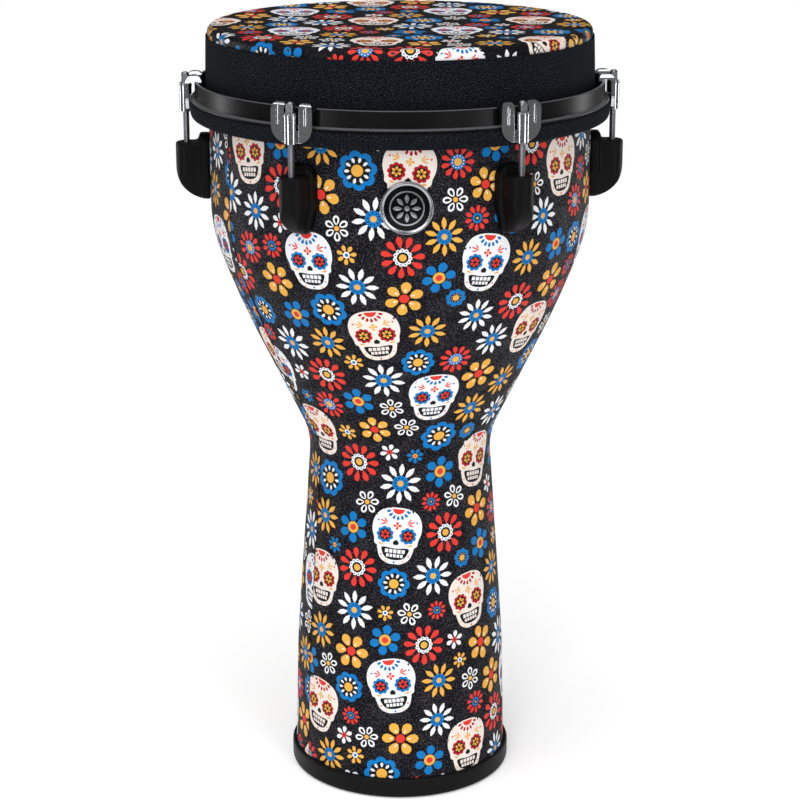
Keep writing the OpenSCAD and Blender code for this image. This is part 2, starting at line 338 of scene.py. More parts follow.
def black_coat():
    material, tree, shader = new_material("black_powder_coat", (0.0035, 0.0035, 0.004), 0.3, specular=0.1)
    orange_peel = noise(tree, 420)
    # Painted highlight: faces that point up get a lighter grey base colour, which stands in for overhead
    # light on the band's top edges.
    facing = add_node(tree, "ShaderNodeNewGeometry").outputs["Normal"]
    upward = add_node(tree, "ShaderNodeSeparateXYZ", {"Vector": facing}).outputs["Z"]
    painted_top_highlight = ((0.25, (0.0035, 0.0035, 0.004)), (0.65, (0.10, 0.10, 0.105)))
    vary_colour(tree, shader, upward, painted_top_highlight)
    vary_rough(tree, shader, orange_peel, 0.24, 0.38)
    bump(tree, shader, orange_peel, 0.2, 0.08 * MM)
    return material


def moulded_plastic():
    material, tree, shader = new_material("moulded_plastic", (0.0035, 0.0035, 0.004), 0.4, specular=0.07)
    vary_rough(tree, shader, noise(tree, 60), 0.36, 0.5)
    bump(tree, shader, noise(tree, 900, 4.0, 0.6), 0.25, 0.1 * MM)
    return material


def rubber():
    material, tree, shader = new_material("foot_rubber", (0.005, 0.005, 0.005), 0.45, specular=0.08)
    vary_rough(tree, shader, noise(tree, 35, 5.0, 0.65), 0.36, 0.56)
    bump(tree, shader, noise(tree, 500, 4.0), 0.22, 0.12 * MM)
    return material


def bright_metal(name, colour, low, high):
    material, tree, shader = new_material(name, colour, low, metallic=1)
    brushed = noise(tree, 350, 4.0)
    vary_rough(tree, shader, brushed, low, high)
    bump(tree, shader, brushed, 0.02, 0.05 * MM)
    return material


def badge_rim(name, centre, radius):
    """Silver with a dark ring painted on the face of the rim as the shade of a groove; the rim's shape has
    no groove.
    """
    material, tree, shader = new_material(name, (0.3, 0.31, 0.33), 0.2, metallic=1)
    on_face = {0: object_place(tree), 1: (1, 0, 1)}
    flat = add_node(tree, "ShaderNodeVectorMath", on_face, operation="MULTIPLY").outputs[0]
    between = {0: flat, 1: (centre.x, 0, centre.z)}
    reach = add_node(tree, "ShaderNodeVectorMath", between, operation="DISTANCE")
    share = maths(tree, "DIVIDE", reach.outputs["Value"], radius)
    # Painted shade: a thin dark ring in the base colour stands in for the shadow inside a groove.
    silver, painted_groove_shade = (0.36, 0.37, 0.39), (0.05, 0.052, 0.056)
    stops = ((0.930, silver), (0.940, painted_groove_shade), (0.955, painted_groove_shade), (0.965, silver))
    vary_colour(tree, shader, share, stops)
    vary_rough(tree, shader, noise(tree, 350, 4.0), 0.16, 0.3)
    return material


def badge_lacquer(name, colour):
    material, tree, shader = new_material(name, colour, 0.18, specular=0.08, coat=0.08, coat_rough=0.04)
    vary_rough(tree, shader, noise(tree, 500), 0.14, 0.26)
    return material


def fibre_wall():
    material, tree, shader = new_material("fibre_wall", (0.03, 0.03, 0.032), 0.7)
    fibres = noise(tree, 90, 6.0, 0.7)
    stops = ((0.35, (0.014, 0.014, 0.015)), (0.70, (0.05, 0.048, 0.046)))
    vary_colour(tree, shader, fibres, stops)
    bump(tree, shader, fibres, 0.5, 0.6 * MM)
    return material


# ---------------------------------------------------------------- printed motifs
# A motif is a list of (ink, outline) in painter's order, in shares of its own radius.

def turned(points, angle, shift=(0.0, 0.0), scale=1.0):
    c, s = scale * math.cos(angle), scale * math.sin(angle)
    return [(x * c - y * s + shift[0], x * s + y * c + shift[1]) for x, y in points]


def disc(radius, steps=14, shift=(0.0, 0.0)):
    angles = [TAU * k / steps for k in range(steps)]
    return [(radius * math.cos(a) + shift[0], radius * math.sin(a) + shift[1]) for a in angles]


def scalloped(radius, lobes, steps=6):
    """A ring of round lobes, each a circle that meets its neighbours."""
    half = math.pi / lobes
    lobe = 0.8 * math.sin(half) + 0.02
    centre = 1 - lobe
    out = []
    for k in range(steps * lobes):
        a = TAU * k / (steps * lobes)
        b = (a % (2 * half)) - half
        r = radius * (centre * math.cos(b) + math.sqrt(max(0, lobe ** 2 - (centre * math.sin(b)) ** 2)))
        out.append((r * math.cos(a), r * math.sin(a)))
    return out


def petal(base, tip, half, point=0.0, fullest=0.6, steps=5):
    """A petal along +y from base to tip. point is 0 for a round tip and 1 for a sharp one."""
    side = []
    for k in range(1, steps):
        t = 0.5 - 0.5 * math.cos(math.pi * k / steps)
        shape = math.sin(math.pi * t ** (math.log(0.5) / math.log(fullest)))
        width = half * shape ** (0.55 + 0.45 * point)
        side.append((width, base + (tip - base) * t))
    mirrored = [(-x, y) for x, y in reversed(side)]
    return [(0, base)] + side + [(0, tip)] + mirrored


def flower(ink, count, outline, start=0.0):
    return [(ink, turned(outline, start + TAU * k / count)) for k in range(count)]


def dots(ink, count, ring, radius, start=0.0):
    place = disc(ring, count)
    return [(ink, turned(disc(radius, 6), 0, turned([p], start)[0])) for p in place]


def pointed(ink):
    """Ten pointed petals round a blue disc with dark ticks."""
    ticks = flower("black", 10, petal(0.20, 0.33, 0.035, 1.0, 0.5, 2), 0.3)
    return (flower(ink, 10, petal(0.36, 1.0, 0.135, 0.8, 0.52)) + [("blue", disc(0.39, 20))]
            + ticks + [("gold", disc(0.15, 10))])


def closed_curve(half, steps=3):
    """A smooth closed outline through half's points and their mirror images, which run down the +x side."""
    points = [Vector(p) for p in half + [(-x, y) for x, y in reversed(half[1:-1])]]
    count = len(points)
    out = []
    for i in range(count):
        a, b, c, d = (points[(i + k) % count] for k in (-1, 0, 1, 2))
        for k in range(steps):
            t = k / steps
            p = b + t * (c - a) / 2 + t * t * (a - 2.5 * b + 2 * c - d / 2)
            p += t ** 3 * (1.5 * (b - c) + (d - a) / 2)
            out.append((p.x, p.y))
    return out


def box(x, y, half_x, half_y):
    corners = ((-1, -1), (1, -1), (1, 1), (-1, 1))
    return [(x + right * half_x, y + up * half_y) for right, up in corners]


CRANIUM = [(0, 1), (0.34, 0.97), (0.64, 0.82), (0.82, 0.52), (0.85, 0.16), (0.76, -0.14), (0.72, -0.34),
           (0.46, -0.42), (0, -0.40)]
CHIN = [(0, -0.36), (0.58, -0.34), (0.60, -0.56), (0.48, -0.84), (0.22, -0.99), (0, -1.0)]
MOUTH = [(0, -0.45), (0.44, -0.42), (0.44, -0.60), (0.30, -0.80), (0, -0.86)]
# Strokes from the temple: turn from straight up, and length.
TEMPLE_STROKES = ((-1.9, 0.24), (-1.25, 0.28), (-0.6, 0.22))


def skull_side(side, petals, heart, trim):
    """One eye, half of the nose, and the strokes and dots of one cheek and temple."""
    eye = (side * 0.39, 0.02)
    temple = (side * 0.34, 0.44)
    shapes = [(petals, turned(scalloped(1.0, 9, 4), 0, eye, 0.30)), ("black", disc(0.20, 14, eye))]
    for _, outline in flower(heart, 6, petal(0.24, 1.0, 0.28, steps=4)):
        shapes.append((heart, turned(outline, 0, eye, 0.17)))
    shapes += [("black", disc(0.045, 6, eye)), (trim, disc(0.038, 6, (side * 0.66, 0.50)))]
    nose = petal(0, 0.20, 0.075)
    shapes.append(("black", turned(nose, math.pi - side * 0.42, (side * 0.02, -0.14))))
    for bend, reach in TEMPLE_STROKES:
        shapes.append((heart, turned(petal(0, reach, 0.03, 0.5, steps=4), side * bend, temple)))
    shapes.append(("gold", turned(petal(0, 0.20, 0.035), side * -1.35, (side * 0.40, -0.34))))
    shapes.append((heart, disc(0.034, 6, (side * 0.47, -0.70))))
    shapes.append(("gold", disc(0.034, 6, (side * 0.30, -0.90))))
    return shapes


def skull(bone, petals, heart, trim):
    """A plain sugar skull with flower eyes, a half sun on the brow, two rows of teeth and a chin."""
    shapes = [(bone, closed_curve(CHIN)), ("black", closed_curve(MOUTH)), (bone, closed_curve(CRANIUM))]
    for column in range(-2, 3):
        shapes.append((bone, box(column * 0.142, -0.545, 0.056, 0.065)))
        shapes.append((bone, box(column * 0.120, -0.705, 0.045, 0.055)))
    for side in (-1, 1):
        shapes += skull_side(side, petals, heart, trim)
    ray = petal(0.27, 0.44, 0.052, steps=4)
    shapes += [(petals, turned(ray, math.pi + 0.40 * k, (0, 0.99))) for k in range(-3, 4)]
    half_sun = [(0.22 * math.sin(a), 0.985 - 0.22 * math.cos(a)) for a in np.linspace(-1.4, 1.4, 11)]
    shapes.append(("red", half_sun))
    shapes += [(heart, turned(petal(0.02, 0.14, 0.05), TAU * k / 4, (0, 0.36))) for k in range(4)]
    shapes += [("gold", disc(0.032, 6, (0, 0.36))), (trim, disc(0.04, 6, (0, -0.94)))]
    return shapes


SKULLS = {"cream": skull("cream", "deep_red", "gold", "red"), "white": skull("white", "blue", "red", "blue")}
FLOWER_KINDS = {
    "gold_daisy": flower("gold", 6, petal(0.26, 1.0, 0.275, fullest=0.62))
    + flower("white", 6, petal(0.37, 0.58, 0.055, 1.0, 0.62, 3))
    + [("black", disc(0.33, 18)), ("red", disc(0.255, 16))],
    "blue_daisy": flower("blue", 6, petal(0.26, 1.0, 0.28, fullest=0.62))
    + [("black", disc(0.42, 18)), ("gold", disc(0.37, 18)), ("red", disc(0.20, 12))],
    "white_star": pointed("white"),
    "gold_star": pointed("gold"),
    "red_daisy": flower("red", 11, petal(0.42, 1.0, 0.15, fullest=0.68))
    + [("white", scalloped(0.44, 11, 3))] + dots("blue", 11, 0.345, 0.042, TAU / 22)
    + [("black", disc(0.265, 16)), ("gold", disc(0.17, 12))],
    "ringed_red": flower("red", 11, petal(0.42, 1.0, 0.15, fullest=0.66)) + [("blue", disc(0.44, 20))]
    + dots("white", 12, 0.34, 0.04) + [("gold", disc(0.23, 14))],
    "blue_scallop": [("blue", scalloped(1.0, 8)), ("black", scalloped(0.72, 8, 4))]
    + flower("white", 10, petal(0.38, 0.66, 0.085, steps=4)) + [("gold", disc(0.30, 16))],
    "dark_scallop": [("blue", scalloped(1.0, 8)), ("black", disc(0.56, 18))]
    + dots("white", 10, 0.46, 0.045) + [("gold", disc(0.33, 12))],
    "small_red": flower("red", 10, petal(0.42, 1.0, 0.17)) + [("black", disc(0.45, 16))]
    + [("blue", disc(0.40, 16)), ("black", disc(0.22, 10)), ("gold", disc(0.10, 8))],
    "small_white": flower("white", 6, petal(0.26, 1.0, 0.24))
    + [("red", disc(0.30, 12)), ("black", disc(0.11, 8))],
    "small_blue": flower("blue", 7, petal(0.30, 1.0, 0.23))
    + [("black", disc(0.37, 14)), ("gold", disc(0.30, 12)), ("red", disc(0.15, 10))],
    "small_gold": flower("gold", 7, petal(0.32, 1.0, 0.21))
    + [("white", disc(0.33, 12)), ("blue", disc(0.18, 10))],
    "outlined_white": flower("white", 6, petal(0.24, 1.0, 0.27))
    + flower("black", 6, petal(0.36, 0.84, 0.12)) + [("black", disc(0.30, 14)), ("gold", disc(0.20, 12))],
}
Motif = namedtuple("Motif", "points triangles inks rim")
INK_INDEX = {ink: i + 1 for i, ink in enumerate(INKS)}
MARGIN = 0.5 * MM
RIM_STEP = 2.6 * MM
TRIANGLE = 7 * MM
CLOSE = 1e-7


def counterclockwise(loop):
    area = sum(x0 * y1 - x1 * y0 for (x0, y0), (x1, y1) in zip(loop, loop[1:] + loop[:1]))
    return loop if area > 0 else loop[::-1]


def cut_motif(shapes, radius, wide):
    """Triangles of a motif and its patch of ground, in metres. wide is the patch's width over its height."""
    steps = max(14, int(TAU * radius / RIM_STEP))
    patch = radius + MARGIN
    rim = [(x * wide, y) for x, y in disc(patch, steps)]
    loops = [rim] + [[(x * radius, y * radius) for x, y in outline] for _, outline in shapes]
    inks = [0] + [INK_INDEX[ink] for ink, _ in shapes]
    loops = [counterclockwise(loop) for loop in loops]
    count = int(radius / TRIANGLE)
    span = range(-count, count + 1)
    inner = [(i * TRIANGLE, j * TRIANGLE) for i in span for j in span]
    inner = [p for p in inner if math.hypot(p[0] / wide, p[1]) < radius - TRIANGLE / 2]
    points = [Vector(p) for loop in loops for p in loop]
    faces, start = [], 0
    for loop in loops:
        faces.append(list(range(start, start + len(loop))))
        start += len(loop)
    points += [Vector(p) for p in inner]
    verts, _, triangles, _, _, sources = delaunay_2d_cdt(points, [], faces, 1, CLOSE)
    shown = [inks[max(source)] for source in sources]
    return Motif(np.array([tuple(v) for v in verts]), np.array(triangles), np.array(shown), np.array(rim))


SKULL_RADIUS = 23 * MM
SKULL_WIDE = 0.86
# A skull's room on the cloth is two circles, above and below its centre.
SKULL_ROOM = 20.2 * MM
SKULL_SHIFT = 3.3 * MM
# The mix of flowers, from large to small: radius, kinds, and how often one is tried in a round.
FLOWERS = (
    (16.4 * MM, ("red_daisy", "white_star"), 2),
    (14.8 * MM, ("blue_scallop", "gold_daisy", "gold_star", "white_star"), 4),
    (12.8 * MM, ("ringed_red", "blue_daisy", "blue_scallop", "gold_daisy"), 3),
    (9.8 * MM, ("small_red", "outlined_white"), 2),
    (7.8 * MM, ("small_white", "small_gold", "dark_scallop", "small_red"), 2),
    (6.6 * MM, ("small_white", "small_blue", "small_gold", "small_red"), 0),
)
GAP = 2.3 * MM
FAR = 60 * MM
ALIKE_WITHIN = 70 * MM
# Steps of a sequence that spreads points evenly over the unit square, from the plastic number.
SPREAD_U, SPREAD_V = 0.7548776662, 0.5698402909
TURN_STEP = 2.4
Placed = namedtuple("Placed", "kind radius centre turn")


class Layout:
    """Motifs packed on a chart. Every trial spot keeps its clearance from its three nearest motifs."""

    def __init__(self, chart, trials):
        self.chart = chart
        self.centres = [chart.sample((k * SPREAD_U) % 1, (k * SPREAD_V) % 1) for k in range(trials)]
        self.trials = np.array([chart.spot(centre) for centre in self.centres])
        self.near = np.full((trials, 3), FAR)
        self.placed, self.spots = [], []

    def fill(self, centre, radius):
        gap = np.linalg.norm(self.trials - self.chart.spot(centre), axis=1) - radius
        self.near = np.sort(np.concatenate([self.near, gap[:, None]], 1), axis=1)[:, :3]

    def put(self, kind, radius, centre, turn):
        self.placed.append(Placed(kind, radius, centre, turn))
        self.spots.append(self.chart.spot(centre))

    def put_skull(self, kind, centre, turn):
        self.put(kind, SKULL_RADIUS, centre, turn)
        for shift in (-SKULL_SHIFT, SKULL_SHIFT):
            self.fill((centre[0], centre[1] + shift), SKULL_ROOM)

    def pack(self, radius, kinds):
        """Puts one flower where it sits closest to its neighbours. False when there is no room left."""
        room = self.near[:, 0] >= radius + GAP
        if not room.any():
            return False
        best = int(np.argmin(np.where(room, self.near.sum(1), 1.0)))
        here, step = self.trials[best], len(self.placed)
        close = [item.kind for item, spot in zip(self.placed, self.spots)
                 if np.linalg.norm(spot - here) < ALIKE_WITHIN]
        kind = min(kinds, key=lambda k: (close.count(k), (step * 7 + kinds.index(k) * 3) % 5))
        self.put(kind, radius, self.centres[best], step * TURN_STEP)
        self.fill(self.centres[best], radius)
        return True


def lay_out(chart, skulls, trials):
    """Skulls at their own places, then rounds of mixed flowers packed between them, until none fits."""
    layout = Layout(chart, trials)
    for kind, centre, turn in skulls:
        layout.put_skull(kind, centre, turn)
    mix = [(radius, kinds) for radius, kinds, often in FLOWERS for _ in range(often)]
    mix = [mix[(5 * k) % len(mix)] for k in range(len(mix))]
    while any([layout.pack(radius, kinds) for radius, kinds in mix]):
        pass
    for radius, kinds, _ in FLOWERS:
        while layout.pack(radius, kinds):
            pass
    return layout.placed


def draw_motif(kind, radius):
    if kind in SKULLS:
        return cut_motif(SKULLS[kind], radius, SKULL_WIDE)
    return cut_motif(FLOWER_KINDS[kind], radius, 1)


def clip(points, triangles, inks, field):
    """Keeps the part of the triangles where field(points) is zero or more."""
    value = field(points)
    inside = value[triangles] >= 0
    whole = inside.all(1)
    kept, kept_inks = [triangles[whole]], [inks[whole]]
    points = list(map(tuple, points))
    extra, extra_inks = [], []
    for index in np.nonzero(inside.any(1) & ~whole)[0]:
        ring, corners = triangles[index], []
        for a, b in zip(ring, np.roll(ring, -1)):
            if value[a] >= 0:
                corners.append(a)
            if (value[a] >= 0) != (value[b] >= 0):
                t = value[a] / (value[a] - value[b])
                points.append(tuple(np.array(points[a]) * (1 - t) + np.array(points[b]) * t))
                corners.append(len(points) - 1)
        for k in range(1, len(corners) - 1):
            extra.append((corners[0], corners[k], corners[k + 1]))
            extra_inks.append(inks[index])
    if extra:
        kept.append(np.array(extra))
        kept_inks.append(np.array(extra_inks))
    return np.array(points), np.concatenate(kept), np.concatenate(kept_inks)


def motif_sheets(chart, placed):
    """The rim of every motif's patch, and the patch itself, both laid on the chart."""
    cut = {}
    loops, sheets = [], []
    for item in placed:
        key = (item.kind, item.radius)
        if key not in cut:
            cut[key] = draw_motif(*key)
        motif = cut[key]
        loops.append(chart.lay(item, motif.rim))
        sheets.append((chart.lay(item, motif.points), motif.triangles, motif.inks))
    return loops, sheets


def ground_sheet(chart, loops):
    """The ground, with a hole for every loop."""
    corners, inner = chart.ground(TRIANGLE)
    scale = chart.flat_scale
    points = [Vector(p) for p in corners * scale]
    faces = [list(range(len(corners)))]
    for loop in loops:
        faces.append(list(range(len(points), len(points) + len(loop))))
        points += [Vector(p) for p in loop * scale]
    points += [Vector(p) for p in inner * scale]
    verts, _, triangles, _, _, sources = delaunay_2d_cdt(points, [], faces, 1, CLOSE)
    ground = np.array([t for t, source in zip(triangles, sources) if max(source) == 0])
    return np.array([tuple(v) for v in verts]) / scale, ground, np.zeros(len(ground), int)


def trim_and_join(chart, sheets):
    """All sheets as one, cut off at the chart's limits."""
    all_points, all_triangles, all_inks, start = [], [], [], 0
    for flat, triangles, inks in sheets:
        for field in chart.limits:
            flat, triangles, inks = clip(flat, triangles, inks, field)
        used, triangles = np.unique(triangles, return_inverse=True)
        all_points.append(flat[used])
        all_triangles.append(triangles.reshape(-1, 3) + start)
        all_inks.append(inks)
        start += len(used)
    return np.concatenate(all_points), np.concatenate(all_triangles), np.concatenate(all_inks)


def printed_mesh(name, chart, placed, materials):
    """One sheet: the ground is cut round every motif's patch, and each patch holds its motif."""
    loops, sheets = motif_sheets(chart, placed)
    flat, triangles, inks = trim_and_join(chart, sheets + [ground_sheet(chart, loops)])
    place, normal, cloth = chart.surface(flat)
    first, second, third = (place[triangles[:, k]] for k in range(3))
    across = np.cross(second - first, third - first)
    inward = np.einsum("ij,ij->i", across, normal[triangles[:, 0]]) < 0
    triangles[inward] = triangles[inward][:, ::-1]
    return mesh_object(name, place, triangles, materials, inks, normal, cloth)


def mesh_object(name, place, faces, materials, slots=None, normal=None, cloth=None):
    mesh = bpy.data.meshes.new(name)
    mesh.from_pydata([tuple(p) for p in place], [], [tuple(int(i) for i in f) for f in faces])
    for material in materials:
        mesh.materials.append(material)
    if slots is not None:
        mesh.polygons.foreach_set("material_index", np.asarray(slots, np.int32))
    mesh.polygons.foreach_set("use_smooth", np.ones(len(mesh.polygons), bool))
    if cloth is not None:
        corner = np.zeros(len(mesh.loops), np.int32)
        mesh.loops.foreach_get("vertex_index", corner)
        mesh.uv_layers.new(name="cloth").data.foreach_set("uv", np.asarray(cloth)[corner].ravel())
    if normal is not None:
        mesh.normals_split_custom_set_from_vertices([tuple(n) for n in normal])
    return add_object(name, mesh)


class TurnedLine:
    """A profile (radius, height) by distance along it, with smooth normals."""

    def __init__(self, points, spacing=2 * MM, soften=5):
        points = np.array(points)
        along = np.concatenate([[0], np.cumsum(np.linalg.norm(np.diff(points, axis=0), axis=1))])
        self.along = np.linspace(0, along[-1], int(along[-1] / spacing) + 1)
        self.radius = np.interp(self.along, along, points[:, 0])
        self.height = np.interp(self.along, along, points[:, 1])
        slope = np.gradient(np.stack([self.radius, self.height], 1), self.along, axis=0)
        kernel = np.ones(2 * soften + 1) / (2 * soften + 1)
        padded = np.pad(slope, ((soften, soften), (0, 0)), mode="edge")
        smooth = np.stack([np.convolve(padded[:, i], kernel, "valid") for i in (0, 1)], 1)
        self.slope = smooth / np.linalg.norm(smooth, axis=1)[:, None]
        self.length = self.along[-1]

    def at(self, s):
        lines = (self.radius, self.height, self.slope[:, 0], self.slope[:, 1])
        return tuple(np.interp(s, self.along, line) for line in lines)


SEAM_AZIMUTH = -1.08
SEAM_LAP = 0.5 * MM
LAP_WIDTH = 9 * MM
# How far past the seam motifs are laid, in radians. The seam cuts some of them.
PAST_SEAM = 0.26
# The ground is cut from a sheet larger than the cloth by this much.
SPARE = 45 * MM
SPARE_ANGLE = 0.55


class WrapChart:
    """The goblet's cloth: angle from the side opposite the seam, and distance up the profile."""

    def __init__(self, line):
        self.line = line
        # A radian is about 0.1 m of cloth.
        self.flat_scale = np.array([0.1, 1.0])
        self.limits = (
            lambda p: p[:, 0] + math.pi,
            lambda p: math.pi - p[:, 0],
            lambda p: p[:, 1],
            lambda p: line.length - p[:, 1],
        )
        area = np.cumsum(line.radius)
        self.share = area / area[-1]

    def around(self, azimuth):
        """Chart angle of an azimuth that is measured from the front."""
        return (azimuth - SEAM_AZIMUTH) % TAU - math.pi

    def sample(self, u, v):
        s = float(np.interp(v, self.share, self.line.along))
        return ((u * 2 - 1) * (math.pi + PAST_SEAM), s)

    def spot(self, centre):
        """Place in space, with a fourth measure that keeps the two sides of the seam apart."""
        angle = centre[0]
        radius, height, _, _ = self.line.at(centre[1])
        return np.array([radius * math.sin(angle), -radius * math.cos(angle), height, angle / 100])

    def lay(self, item, local):
        """Lays a flat motif on the cone that touches the surface at its centre."""
        c, s = math.cos(item.turn), math.sin(item.turn)
        x = local[:, 0] * c - local[:, 1] * s
        y = local[:, 0] * s + local[:, 1] * c
        radius, _, k, _ = self.line.at(item.centre[1])
        if abs(k) < 0.01:
            return np.stack([item.centre[0] + x / radius, item.centre[1] + y], 1)
        apex = radius / k
        around = np.arctan2(x * np.sign(k), abs(apex) + y * np.sign(k)) / abs(k) * np.sign(k)
        reach = (np.hypot(x, abs(apex) + y * np.sign(k)) - abs(apex)) * np.sign(k)
        return np.stack([item.centre[0] + around, item.centre[1] + reach], 1)

    def ground(self, step):
        wide, low, high = math.pi + SPARE_ANGLE, -SPARE, self.line.length + SPARE
        corners = np.array([(-wide, low), (wide, low), (wide, high), (-wide, high)])
        inner = []
        for j in range(1, int((high - low) / step)):
            s = low + j * step
            count = int(2 * wide * float(self.line.at(s)[0]) / step)
            inner += [(-wide + 2 * wide * (i + 0.5 + 0.5 * (j % 2)) / (count + 1), s) for i in range(count)]
        return corners, np.array(inner)

    def surface(self, flat):
        radius, height, dr, dz = self.line.at(np.clip(flat[:, 1], 0, self.line.length))
        azimuth = flat[:, 0] + SEAM_AZIMUTH + math.pi
        c, s = np.cos(azimuth), np.sin(azimuth)
        lap = np.clip(1 - (math.pi - flat[:, 0]) * radius / LAP_WIDTH, 0, 1)
        lifted = radius + SEAM_LAP * lap * lap
        place = np.stack([lifted * s, -lifted * c, height], 1)
        normal = np.stack([dz * s, -dz * c, -dr], 1)
        return place, normal, np.stack([flat[:, 0] * radius, flat[:, 1]], 1)


PAST_EDGE = 4 * MM
RIM_SIDES = 240
SKIRT_ROW = 3 * MM


class HeadChart:
    """The film: flat coordinates from the centre, turned down over the rim by arc length."""

    def __init__(self, rim, top, low, bend):
        self.rim, self.top, self.bend = rim, top, bend
        self.flat_r = rim - bend
        self.reach = self.flat_r + bend * math.pi / 2 + (top - bend - low)
        self.flat_scale = np.array([1.0, 1.0])
        self.limits = (lambda p: self.reach - np.hypot(p[:, 0], p[:, 1]),)

    def sample(self, u, v):
        ring = math.sqrt(v) * (self.reach + PAST_EDGE)
        return (ring * math.sin(TAU * u), ring * math.cos(TAU * u))

    def spot(self, centre):
        return np.array([centre[0], centre[1], 0.0])

    def lay(self, item, local):
        return np.array(turned(local, item.turn, item.centre))

    def ground(self, step):
        wide = self.reach + SPARE
        corners = np.array(disc(wide, 60))
        span = range(-int(wide / step), int(wide / step))
        inner = [(i * step + (j % 2) * step / 2, j * step) for i in span for j in span]
        flat = np.array([p for p in inner if math.hypot(*p) < min(wide, self.flat_r + 1.5 * MM) - step])
        bent = [disc(self.flat_r + k * self.bend * math.pi / 12, RIM_SIDES) for k in range(0, 7)]
        skirt_r = self.flat_r + self.bend * math.pi / 2
        skirt = [disc(skirt_r + k * SKIRT_ROW, RIM_SIDES) for k in (1, 2, 3)]
        return corners, np.concatenate([flat, *map(np.array, bent + skirt)])

    def surface(self, flat):
        ring = np.maximum(np.hypot(flat[:, 0], flat[:, 1]), 1e-9)
        out = flat / ring[:, None]
        turn = np.clip((ring - self.flat_r) / self.bend, 0, math.pi / 2)
        down = np.maximum(ring - self.flat_r - self.bend * math.pi / 2, 0)
        radius = np.minimum(ring, self.flat_r) + self.bend * np.sin(turn)
        height = self.top - self.bend * (1 - np.cos(turn)) - down
        place = np.stack([out[:, 0] * radius, out[:, 1] * radius, height], 1)
        normal = np.stack([out[:, 0] * np.sin(turn), out[:, 1] * np.sin(turn), np.cos(turn)], 1)
        return place, normal, flat


def wrap_line():
    """Outside profile of the wrap, from the outward faces of its CAD node."""
    rings = {}
    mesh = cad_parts["shell_wrap"].data
    for face in mesh.polygons:
        outward = face.normal.x * face.center.x + face.normal.y * face.center.y
        if outward < 0.5 * math.hypot(face.center.x, face.center.y):
            continue
        for index in face.vertices:
            x, y, z = mesh.vertices[index].co
            rings[round(z, 4)] = max(rings.get(round(z, 4), 0), math.hypot(x, y))
    heights = sorted(rings)
    return TurnedLine([(rings[z], z) for z in heights])


# Each row of skulls: kind, height above the floor, azimuth of its first skull and the row's rise per radian.
SKULL_ROWS = (
    ("cream", 0.036, 0.66, -0.020), ("white", 0.096, -0.11, -0.012), ("cream", 0.160, 0.72, -0.009),
    ("white", 0.220, -0.07, -0.010), ("cream", 0.274, 0.90, -0.014), ("white", 0.339, 0.23, -0.008),
    ("cream", 0.395, -0.18, -0.006), ("white", 0.453, -0.51, -0.001), ("cream", 0.522, 0.01, -0.006),
)
ROW_SPACING = 134 * MM
WRAP_TRIALS = 42000


def wrap_skulls(chart):
    """Rows of skulls counted off from the front to the seam."""
    line = chart.line
    out = []
    for row, (kind, height, azimuth, rise) in enumerate(SKULL_ROWS):
        step = ROW_SPACING / float(np.interp(height, line.height, line.radius))
        first = chart.around(azimuth)
        low, high = (int((first + math.pi + PAST_SEAM) / step), int((math.pi + PAST_SEAM - first) / step))
        for i in range(-low, high + 1):
            s = float(np.interp(height + rise * i * step, line.height, line.along))
            out.append((kind, (first + i * step, s), 0.14 * math.sin(2.1 * i + 1.3 * row)))
    return out


def add_wrap():
    line = wrap_line()
    chart = WrapChart(line)
    placed = lay_out(chart, wrap_skulls(chart), WRAP_TRIALS)
    piece = printed_mesh("printed_wrap", chart, placed, print_materials("wrap", 0.6, 0.0, 1.0))
    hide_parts("shell_wrap")
    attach(piece, "drum")
    return piece


EDGE_BEND = 4.4 * MM
HEAD_TRIALS = 9000
SKULL_COLUMN = 122 * MM
SKULL_LINE = 0.46 * SKULL_COLUMN
HEAD_SHIFT = (-20 * MM, 12 * MM)
SKULLS_WITHIN = 165 * MM


def head_skulls():
    out = []
    for row in range(-3, 4):
        kind = "white" if row % 2 else "cream"
        for column in range(-2, 3):
            x = (column + 0.5 * (row % 2)) * SKULL_COLUMN + HEAD_SHIFT[0]
            centre = (x, row * SKULL_LINE + HEAD_SHIFT[1])
            if math.hypot(*centre) < SKULLS_WITHIN:
                out.append((kind, centre, 0.1 * math.sin(1.7 * row + column)))
    return out


def add_head():
    low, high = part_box("head_film")
    chart = HeadChart(high.x, high.z, low.z, EDGE_BEND)
    placed = lay_out(chart, head_skulls(), HEAD_TRIALS)
    piece = printed_mesh("printed_head", chart, placed, print_materials("head", 0.5, 0.03, 0.35))
    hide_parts("head_film")
    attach(piece, "drum")
    return piece


# ---------------------------------------------------------------- turned cloth pieces

def revolve(name, profile, materials, steps, close=False, wobble=None):
    """Turns a profile of (radius, height) points about the drum's axis, with cloth coordinates."""
    profile = np.array(profile)
    rows = len(profile)
    along = np.concatenate([[0], np.cumsum(np.linalg.norm(np.diff(profile, axis=0), axis=1))])
    place, cloth = [], []
    for i in range(steps):
        angle = TAU * i / steps
        for (radius, height), s in zip(profile, along):
            push = wobble(angle, height) if wobble else 0
            place.append(((radius + push) * math.sin(angle), -(radius + push) * math.cos(angle), height))
            cloth.append((angle * profile[0][0], s))
    faces = []
    last = rows if close else rows - 1
    for i in range(steps):
        for j in range(last):
            a, b = i * rows, ((i + 1) % steps) * rows
            k = (j + 1) % rows
            faces.append((a + j, b + j, b + k, a + k))
    return mesh_object(name, place, faces, materials, cloth=cloth)


def bezier(points, steps):
    """Points of a cubic curve through four control points."""
    a, b, c, d = (np.array(p) for p in points)
    out = []
    for t in np.linspace(0, 1, steps):
        out.append(tuple((1 - t) ** 3 * a + 3 * t * (1 - t) ** 2 * b + 3 * t * t * (1 - t) * c + t ** 3 * d))
    return out


SEAM_OUT = 1.5 * MM
TUCK = 6 * MM
CLOTH_SIDES = 300
RIPPLE = 0.22 * MM
RIPPLES = 11


